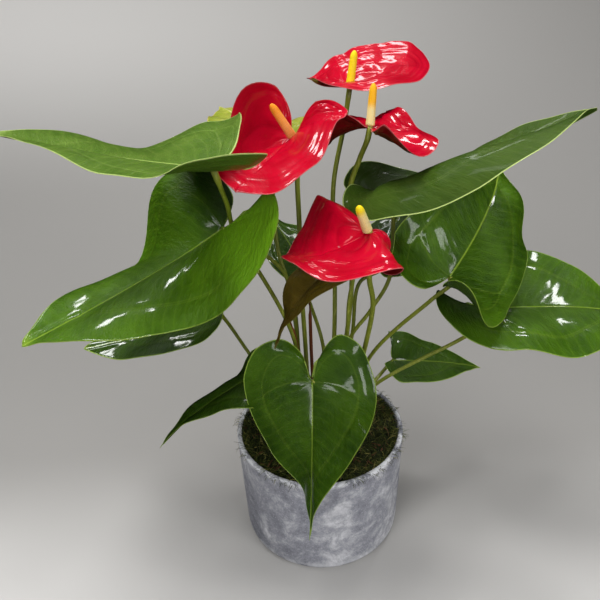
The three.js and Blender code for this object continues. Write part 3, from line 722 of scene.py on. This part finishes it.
def spathe_material():
    """Spathe: lacquer-glossy red with finer and darker veins, pinkish rim and a maroon underside, partly
    its own colour and partly painted shade.
    """
    paint, at = blade_paint("spathe")
    patches = paint.noise(at["flat"], 0.05, 3.0)
    surface = paint.ramp(patches, (0.3, (0.35, 0.0007, 0.01)), (0.7, (0.48, 0.0013, 0.018)))
    vein = paint.math("MAXIMUM", paint.line(at["first"], 0.2, 1.5), paint.line(at["second"], 0.2, 1.5))
    surface = paint.mix(paint.math("MULTIPLY", vein, 0.3), surface, (0.26, 0.0008, 0.008))
    # The underside's maroon is partly the spathe's own darker back and partly painted shade
    surface = paint.mix(at["under"], surface, (0.11, 0.001, 0.003))
    surface = paint.mix(paint.ease(at["rim"], 0.7, 0.25), surface, (0.5, 0.09, 0.1))
    fine = paint.noise(paint.stretched(at["along"], (0.2, 0.45, 1.0)), 1.0, 3.0, 0.55)
    normal = paint.bump(fine, 1.0, 0.35)
    paint.set(Base_Color=surface, Roughness=0.34, Normal=normal)
    paint.set(Coat_Weight=0.55, Coat_Roughness=0.06, Specular_IOR_Level=0.06)
    paint.set(Subsurface_Weight=0.06, Subsurface_Radius=(1.5, 0.3, 0.3), Subsurface_Scale=MM)
    return paint.material


def stalk_material(name, low, high, streak, end):
    """Stalk: fine streaks along it, redder or paler towards its ends."""
    paint = Paint(name)
    place = paint.node("TexCoord").outputs["Object"]
    fibres = paint.noise(paint.stretched(place, (900.0, 900.0, 35.0)), 1.0, 3.0)
    broad = paint.noise(place, 45.0, 2.0)
    surface = paint.mix(broad, low, high)
    surface = paint.mix(paint.ease(fibres, 0.5, 0.75), surface, streak)
    share = paint.field("stalk_share", "Fac")
    surface = paint.mix(paint.math("MULTIPLY", paint.ease(share, 0.93, 0.985), 0.6), surface, end)
    normal = paint.bump(fibres, 0.25, 0.3)
    paint.set(Base_Color=surface, Roughness=0.42, Normal=normal, Coat_Weight=0.15, Coat_Roughness=0.3)
    return paint.material


def spadix_material():
    """Spadix: each flower's own ripening colour, with painted shade in the gaps between the florets."""
    paint = Paint("spadix")
    surface = paint.field("ripeness", "Color")
    gaps = paint.field("floret", "Fac")
    # Painted shade: the gaps between the florets are darkened
    painted_gap_shade = paint.node("HueSaturation", Color=surface, Saturation=1.1, Value=0.62).outputs["Color"]
    surface = paint.mix(paint.ease(gaps, 0.45, 0.0), surface, painted_gap_shade)
    place = paint.node("TexCoord").outputs["Object"]
    normal = paint.bump(paint.noise(place, 1800.0, 2.0), 0.4, 0.1)
    paint.set(Base_Color=surface, Roughness=0.55, Normal=normal, Subsurface_Weight=0.2,
              Subsurface_Radius=(1.0, 0.6, 0.2), Subsurface_Scale=MM)
    return paint.material


def pot_material():
    """Pot: cement look with cloudy light and dark blue-grey patches, wispy marks and small pits."""
    paint = Paint("pot")
    place = paint.node("TexCoord").outputs["Object"]
    wisps = paint.node("TexNoise", Vector=place, Scale=42.0, Detail=10.0, Roughness=0.74, Distortion=0.3)
    grain = paint.noise(place, 700.0, 3.0, 0.6)
    broad = paint.noise(place, 14.0, 2.0)
    shift = paint.math("MULTIPLY", paint.math("SUBTRACT", broad, 0.5), 0.3)
    cloud = paint.math("ADD", wisps.outputs["Fac"], shift)
    surface = paint.ramp(cloud, (0.36, (0.165, 0.17, 0.2)), (0.47, (0.245, 0.25, 0.285)),
                         (0.55, (0.36, 0.365, 0.395)), (0.65, (0.58, 0.58, 0.61)))
    specks = paint.math("MULTIPLY", paint.ease(grain, 0.52, 0.7), 0.3)
    surface = paint.mix(specks, surface, (0.66, 0.66, 0.69))
    chalky = paint.ease(wisps.outputs["Fac"], 0.38, 0.52)
    worn = paint.math("MULTIPLY", paint.field("edge_wear", "Fac"), chalky)
    surface = paint.mix(worn, surface, (0.72, 0.73, 0.76))
    pits = paint.node("TexVoronoi", Vector=place, Scale=240.0).outputs["Distance"]
    normal = paint.bump(paint.ease(pits, 0.0, 0.14), 0.25, 0.4)
    normal = paint.bump(cloud, 0.6, 1.6, normal)
    paint.set(Base_Color=surface, Roughness=0.85, Normal=normal)
    return paint.material


def moss_material():
    """Moss: each strand has its own green, from near black through olive to straw."""
    paint = Paint("moss")
    tone = paint.field("strand_tone", "Fac")
    surface = paint.ramp(tone, (0.0, (0.006, 0.009, 0.0015)), (0.35, (0.024, 0.035, 0.005)),
                         (0.7, (0.085, 0.105, 0.015)), (1.0, (0.32, 0.28, 0.08)))
    paint.set(Base_Color=surface, Roughness=0.85)
    return paint.material


def soil_material():
    """Potting mix: dark brown crumbs with lighter fibres."""
    paint = Paint("soil")
    place = paint.node("TexCoord").outputs["Object"]
    crumbs = paint.noise(place, 260.0, 6.0, 0.7)
    surface = paint.ramp(crumbs, (0.35, (0.012, 0.008, 0.005)), (0.6, (0.05, 0.032, 0.018)),
                         (0.8, (0.14, 0.09, 0.05)))
    paint.set(Base_Color=surface, Roughness=0.95, Normal=paint.bump(crumbs, 0.8, 2.0))
    return paint.material


def litter_material():
    """Dry bits in the moss: brown bark and straw."""
    paint = Paint("litter")
    tone = paint.field("strand_tone", "Fac")
    surface = paint.ramp(tone, (0.0, (0.03, 0.012, 0.005)), (0.6, (0.11, 0.045, 0.018)),
                         (1.0, (0.26, 0.16, 0.07)))
    paint.set(Base_Color=surface, Roughness=0.85)
    return paint.material


# Each leaf finish: dark and light green, vein, rim, underside, gloss, roughness, sheen, grain
MATERIALS = {
    "leaf": leaf_material(
        "leaf", (0.023, 0.066, 0.0012), (0.07, 0.16, 0.004), (0.3, 0.44, 0.04),
        (0.26, 0.38, 0.05), (0.035, 0.08, 0.008), 0.7, 0.4, 0.3, 1.0),
    "leaf_light": leaf_material(
        "leaf_light", (0.05, 0.105, 0.01), (0.095, 0.165, 0.02), (0.36, 0.48, 0.12),
        (0.42, 0.52, 0.17), (0.05, 0.1, 0.008), 0.16, 0.42, 0.14, 0.5),
    "leaf_young": leaf_material(
        "leaf_young", (0.2, 0.25, 0.015), (0.42, 0.45, 0.07), (0.6, 0.6, 0.2),
        (0.5, 0.42, 0.08), (0.2, 0.24, 0.03), 0.6, 0.35, 0.3, 0.8),
    "leaf_bronze": leaf_material(
        "leaf_bronze", (0.06, 0.04, 0.002), (0.15, 0.1, 0.008), (0.2, 0.15, 0.02),
        (0.16, 0.13, 0.02), (0.07, 0.045, 0.004), 0.2, 0.45, 0.2, 0.6),
    "spathe": spathe_material(),
    "stalk": stalk_material(
        "stalk", (0.12, 0.15, 0.008), (0.2, 0.23, 0.018), (0.3, 0.32, 0.05), (0.34, 0.36, 0.06)),
    "old_stalk": stalk_material(
        "old_stalk", (0.1, 0.02, 0.006), (0.22, 0.055, 0.015), (0.05, 0.012, 0.005), (0.03, 0.01, 0.005)),
    "spadix": spadix_material(),
    "pot": pot_material(),
    "moss": moss_material(),
    "soil": soil_material(),
    "litter": litter_material(),
}

# How a blade's veins and waves look; each vein is (first ray, rays to settle, share of the way to the rim)
LEAF_STYLE = dict(veins=((0.34, 0.16, 0.74), (0.1, 0.16, 0.72)), slant=0.36, sweep=0.0035,
                  spacing=SIDE_VEIN_SPACING, quilt=0.28, groove=0.45, groove_width=1.5,
                  ripple=0.5, swell=0.6, lobe_ribs=22, keel=0.9, edge_roll=0.8, lobe_roll=0)
SPATHE_STYLE = dict(veins=((0.48, 0.2, 0.36), (0.22, 0.2, 0.78), (0.34, 0.2, 0.57), (0.08, 0.15, 0.86)),
                    slant=0.5, sweep=0.004, spacing=11, quilt=0.3, groove=0.75, groove_width=1.7,
                    ripple=0.3, swell=0.5, lobe_ribs=18, keel=0.5, edge_roll=0.6, lobe_roll=0)


def make_leaves():
    """Each leaf's blade and stalk, which stand for one node of the frame together."""
    for seed, (name, spec) in enumerate(LEAVES.items()):
        style = {**LEAF_STYLE, **spec.get("style", {})}
        rng = np.random.default_rng(seed)
        finish_piece(blade_piece(name + "_blade", spec, LEAF_OUTLINE, style, rng), spec["look"], name)
        petiole = stalk_piece(name + "_petiole", stalk_line(spec), PETIOLE_RADIUS, PETIOLE_SWELLS)
        finish_piece(petiole, "stalk", name)


def make_flowers():
    """Each flower's spathe, stalk and spadix."""
    for seed, (name, spec) in enumerate(FLOWERS.items()):
        rng = np.random.default_rng(100 + seed)
        spathe = blade_piece("flower_%s_spathe" % name, spec, SPATHE_OUTLINE, SPATHE_STYLE, rng)
        finish_piece(spathe, "spathe", "spathe_" + name)
        line = stalk_line(spec)
        stalk = stalk_piece("flower_%s_stalk" % name, line, PEDUNCLE_RADIUS, PEDUNCLE_SWELLS)
        finish_piece(stalk, "stalk", "stalk_" + name)
        finish_piece(spadix_piece("flower_%s_spadix" % name, spec), "spadix", "spadix_" + name)


def make_old_stalks():
    """The two withered stalks, thinner towards their broken tips."""
    for i, ((x, y), *rest) in enumerate(OLD_STALKS, 1):
        line = [(x, y, FOOT_DEPTH), (x, y, STALK_RISE), *rest]
        stalk = stalk_piece("old_stalk_%d_fine" % i, line, OLD_STALK_RADIUS, OLD_STALK_SWELLS)
        finish_piece(stalk, "old_stalk", "old_stalk_%d" % i)


def turned_piece(name, profile, segments, waver, fields):
    """Round form about the pot's axis from its profile, with its radius wavering slightly as if cast."""
    profile = np.array(profile, float)
    angle = 2 * np.pi * np.arange(segments) / segments
    radius = profile[:, 0][:, None] * (1 + waver(angle[None, :], profile[:, 1][:, None]))
    height = np.broadcast_to(profile[:, 1][:, None], radius.shape)
    points = np.stack([radius * np.cos(angle), radius * np.sin(angle), height], -1).reshape(-1, 3)
    values = {key: np.repeat(value, segments) for key, value in fields.items()}
    return make_mesh(name, points, rod_faces(len(profile), segments), values)


def pot_profile():
    """Outside from the foot up, round rim, and inside down to the floor, with each point's edge wear."""
    slope = (POT_RIM_RADIUS - POT_FOOT_RADIUS) / POT_HEIGHT
    foot = [(POT_FOOT_RADIUS - POT_FOOT_ROUND * (1 - math.sin(a)), POT_FOOT_ROUND * (1 - math.cos(a)), 0.3)
            for a in np.radians(np.linspace(0, 90, 10))]
    heights = np.linspace(POT_FOOT_ROUND + 4, POT_HEIGHT - 5, 20)
    wall = [(POT_FOOT_RADIUS + slope * z, z, 0.0) for z in heights]
    half = POT_WALL / 2
    middle = POT_RIM_RADIUS - half
    crown = POT_HEIGHT - RIM_CROWN
    rim = [(middle + half * math.cos(a), crown + RIM_CROWN * math.sin(a), 1.0)
           for a in np.radians(np.linspace(0, 180, 15))]
    inside = [(POT_RIM_RADIUS - POT_WALL - slope * (POT_HEIGHT - z), z, 0.0) for z in POT_INSIDE_HEIGHTS]
    return foot + wall + rim + inside


def make_pot():
    """The cover pot, not quite round, as a cast one is."""
    profile = pot_profile()

    def waver(angle, z):
        return 0.0012 * np.sin(3 * angle + 0.02 * z) + 0.0008 * np.sin(7 * angle - 0.05 * z)

    points = [(r, z) for r, z, _ in profile]
    wear = {"edge_wear": np.array([wear for _, _, wear in profile])}
    finish_piece(turned_piece("cement_pot", points, 160, waver, wear), "pot", "cover_pot")


def moss_height(x, y):
    """Height of the moss at a place: a low mound with tufts."""
    share = np.hypot(x, y) / (POT_RIM_RADIUS - POT_WALL)
    tufts = np.sin(x * 0.31 + 1.3) * np.cos(y * 0.27) + np.sin(x * 0.13 - y * 0.19 + 0.7)
    return MOSS_EDGE + MOSS_MOUND * (1 - share**2) + MOSS_TUFT * 0.5 * tufts * (1 - share**6)


def strands_piece(name, roots, headings, climbs, lengths, bends, widths, tones):
    """Many short three-sided strands in one mesh, each rising, bending and tapering to a point."""
    steps = STRAND_STEPS
    count = len(roots)
    s = np.linspace(0, 1, steps)[None, :]
    climb = climbs[:, None] - bends[:, None] * s * STRAND_DROOP
    turn = np.sign(np.sin(headings * 3.7))[:, None]
    heading = headings[:, None] + bends[:, None] * s * STRAND_SWING * turn
    tangent = direction(heading, climb)
    stride = tangent * (lengths / (steps - 1))[:, None, None]
    places = roots[:, None] + np.concatenate([np.zeros((count, 1, 3)), np.cumsum(stride[:, :-1], 1)], 1)
    right = unit(np.cross(tangent, [0.2, 0.1, 1.0]))
    up = np.cross(right, tangent)
    width = widths[:, None] * (1 - 0.85 * s)
    corners = []
    for angle in np.radians((90, 210, 330)):
        corners.append(places + (right * math.cos(angle) + up * math.sin(angle)) * width[..., None])
    points = np.stack(corners, 2).reshape(-1, 3)
    first = (3 * steps * np.arange(count))[:, None, None] + 3 * np.arange(steps - 1)[None, :, None]
    k, after = np.arange(3), np.array([1, 2, 0])
    quads = np.stack([first + k, first + after, first + after + 3, first + k + 3], -1).reshape(-1, 4)
    base = 3 * steps * np.arange(count)
    tips = base + 3 * (steps - 1)
    ends = np.concatenate([
        np.stack([base + 2, base + 1, base], -1), np.stack([tips, tips + 1, tips + 2], -1)])
    return make_mesh(name, points, [*quads, *ends], {"strand_tone": np.repeat(tones, 3 * steps)})


def make_moss():
    """The moss mat with its strands, those that hang over the rim, and bits of bark and straw."""
    rng = np.random.default_rng(11)
    inner = POT_RIM_RADIUS - POT_WALL - 1
    rings, sides = 40, 120
    radius = inner * np.linspace(0.02, 1, rings)[:, None] * np.ones(sides)
    angle = 2 * np.pi * np.arange(sides) / sides
    x, y = radius * np.cos(angle), radius * np.sin(angle)
    lumps = np.sin(x * 0.7 + 2) * np.sin(y * 0.8) + 0.5 * np.sin(x * 1.7 - y) * np.sin(y * 1.9 + x * 0.6)
    z = moss_height(x, y) - 0.6 + 0.9 * lumps
    points = np.stack([x, y, z], -1).reshape(-1, 3)
    quads = ring_quads(rings, sides)[:, [0, 3, 2, 1]]
    floor = np.stack([inner * np.cos(angle), inner * np.sin(angle), np.full(sides, MOSS_UNDERSIDE)], -1)
    start = rings * sides
    rim = start - sides + np.arange(sides)
    below = start + np.arange(sides)
    wall = np.stack([rim, below, np.roll(below, -1), np.roll(rim, -1)], -1)
    faces = [*quads, *wall, list(range(sides)), list(range(start, start + sides))[::-1]]
    # The mat gets one near-black moss tone: partly the moss's own dark underlayer, partly painted shade in
    # the gaps between the strands
    tone = np.full(start + sides, 0.12)
    mat = make_mesh("moss_mat", np.vstack([points, floor]), faces, {"strand_tone": tone})
    finish_piece(mat, "moss", "moss")

    def scatter(count, spread):
        r = inner * np.sqrt(rng.uniform(0, 1, count)) * spread
        a = rng.uniform(0, 2 * np.pi, count)
        x, y = r * np.cos(a), r * np.sin(a)
        return np.stack([x, y, moss_height(x, y) - 0.8], -1), np.degrees(a)

    def random_strands(name, roots, headings, climbs, lengths, bends, widths, tones):
        count = len(roots)
        spans = (climbs, lengths, bends, widths)
        climb, length, bend, width = (rng.uniform(low, high, count) for low, high in spans)
        return strands_piece(name, roots, headings, climb, length, bend, width, tones)

    roots, _ = scatter(MOSS_STRANDS, 1.0)
    clump = np.sin(roots[:, 0] * 0.5) * np.sin(roots[:, 1] * 0.45 + 1)
    tones = np.clip(rng.beta(1.6, 2.2, MOSS_STRANDS) + 0.2 * clump, 0, 1)
    headings = rng.uniform(0, 360, MOSS_STRANDS)
    strands = random_strands("moss_strands", roots + (1.2 + clump[:, None]) * [0, 0, 1], headings,
                             (10, 80), (5, 11), (0.2, 1.6), (0.22, 0.45), tones)
    finish_piece(strands, "moss")

    count = sum(tuft[1] for tuft in RIM_TUFTS)
    azimuth = np.concatenate([rng.normal(place, 4, n) for place, n in RIM_TUFTS])
    a = np.radians(azimuth)
    r = inner + rng.uniform(-6, 1.5, count)
    roots = np.stack([r * np.cos(a), r * np.sin(a), np.full(count, POT_HEIGHT - 3.0)], -1)
    over = random_strands("moss_over_rim", roots, azimuth + rng.uniform(-60, 60, count),
                          (10, 50), (6, 13), (0.8, 2.2), (0.24, 0.45), rng.beta(2, 2, count))
    finish_piece(over, "moss")

    roots, _ = scatter(LITTER_BITS, 0.97)
    bits = random_strands("moss_litter", roots + [0, 0, 3.2], rng.uniform(0, 360, LITTER_BITS),
                          (-8, 20), (4, 12), (-0.3, 0.5), (0.4, 1.2), rng.beta(2, 2, LITTER_BITS))
    wires = RIM_WISPS * 2
    roots, azimuth = scatter(wires, 0.9)
    wisps = random_strands("moss_wisps", roots + [0, 0, 4], rng.uniform(0, 360, wires),
                           (30, 60), (14, 26), (1.5, 3.2), (0.12, 0.2), rng.uniform(0.7, 1, wires))
    for piece in (bits, wisps):
        piece.data.materials.append(MATERIALS["litter"])
        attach(piece, "root")


def make_stage():
    """Pale floor that curves up into a backdrop behind, as a paper sweep does, with painted light: lighter
    on the near floor and at the backdrop's upper left.
    """
    width, depth, front, bend, height = 4.0, 0.3, -2.2, 0.45, 2.6
    turns = np.radians(np.linspace(0, 90, 13))
    arc = [(depth + bend * math.sin(a), bend * (1 - math.cos(a))) for a in turns]
    profile = [(front, 0.0), *arc, (depth + bend, height)]
    points = [(x * width / MM / 2, y / MM, z / MM) for y, z in profile for x in (-1, 1)]
    faces = [(2 * i, 2 * i + 1, 2 * i + 3, 2 * i + 2) for i in range(len(profile) - 1)]
    sweep = make_mesh("paper_sweep", points, faces)
    paint = Paint("paper")
    x, y, z = paint.parts(paint.node("TexCoord").outputs["Object"])
    # Painted light: the paper's colour is lighter on the floor towards the front and on the backdrop's
    # upper left, standing in for pools of light
    painted_floor_light = paint.ease(y, 0.1, -0.12)
    high = paint.math("MULTIPLY", paint.ease(z, 0.1, 0.42), paint.ease(x, 0.7, -0.6))
    painted_light = paint.math("MAXIMUM", painted_floor_light, high)
    paint.set(Base_Color=paint.mix(painted_light, (0.25, 0.243, 0.232), (0.5, 0.49, 0.475)), Roughness=0.8)
    sweep.data.materials.append(paint.material)
    sweep.visible_glossy = False


def make_light(name, place, size, power, glints=True):
    """Soft rectangular light towards the plant; one without glints isn't mirrored in glossy leaves."""
    light = bpy.data.lights.new(name, "AREA")
    light.shape = "RECTANGLE"
    light.size, light.size_y = size
    light.energy = power
    lamp = bpy.data.objects.new(name, light)
    bpy.context.scene.collection.objects.link(lamp)
    lamp.location = place
    lamp.rotation_euler = (Vector(PLANT_MIDDLE) - Vector(place)).to_track_quat("-Z", "Y").to_euler()
    lamp.visible_glossy = glints


def make_lights():
    make_light("overhead", (-0.3, 0.1, 1.75), (0.7, 0.6), 17, glints=False)
    make_light("front_left", (-0.8, -1.2, 1.3), (0.9, 0.8), 8, glints=False)
    make_light("front_right", (0.9, -1.2, 1.0), (0.9, 0.8), 8, glints=False)
    make_light("window", (-0.35, -1.75, 0.95), (1.2, 0.3), 6)
    make_light("side_window", (1.3, -1.1, 0.75), (0.5, 0.5), 5)
    make_light("left_lamp", (-0.75, 0.43, 1.3), (0.24, 0.2), 4)
    make_light("right_lamp", (0.5, 0.45, 1.4), (0.25, 0.18), 4)
    make_light("top_lamp", (-0.15, -0.25, 1.6), (0.42, 0.3), 2.4)
    make_light("back_lamp", (0.12, 0.66, 0.95), (0.2, 0.08), 0.6)
    world = bpy.data.worlds.new("studio")
    bpy.context.scene.world = world
    world.cycles_visibility.glossy = False
    world.use_nodes = True
    background = world.node_tree.nodes["Background"].inputs
    background["Color"].default_value = (0.36, 0.365, 0.38, 1)
    background["Strength"].default_value = 0.4


def make_camera():
    """The photograph's view: its place, pitch below level, roll and focal length."""
    pitch, roll = math.radians(CAMERA_PITCH), math.radians(CAMERA_ROLL)
    camera = bpy.data.objects.new("camera", bpy.data.cameras.new("camera"))
    bpy.context.scene.collection.objects.link(camera)
    turn = Matrix.Rotation(math.pi / 2 - pitch, 4, "X") @ Matrix.Rotation(roll, 4, "Z")
    camera.matrix_world = Matrix.Translation(CAMERA_PLACE) @ turn
    camera.data.lens = FOCAL_PIXELS / IMAGE_PIXELS * camera.data.sensor_width
    bpy.context.scene.camera = camera


make_camera()
make_stage()
make_lights()
make_pot()
make_moss()
make_leaves()
make_flowers()
make_old_stalks()
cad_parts["root_ball"].data.materials.clear()
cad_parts["root_ball"].data.materials.append(MATERIALS["soil"])
bpy.context.scene.view_settings.view_transform = "Standard"
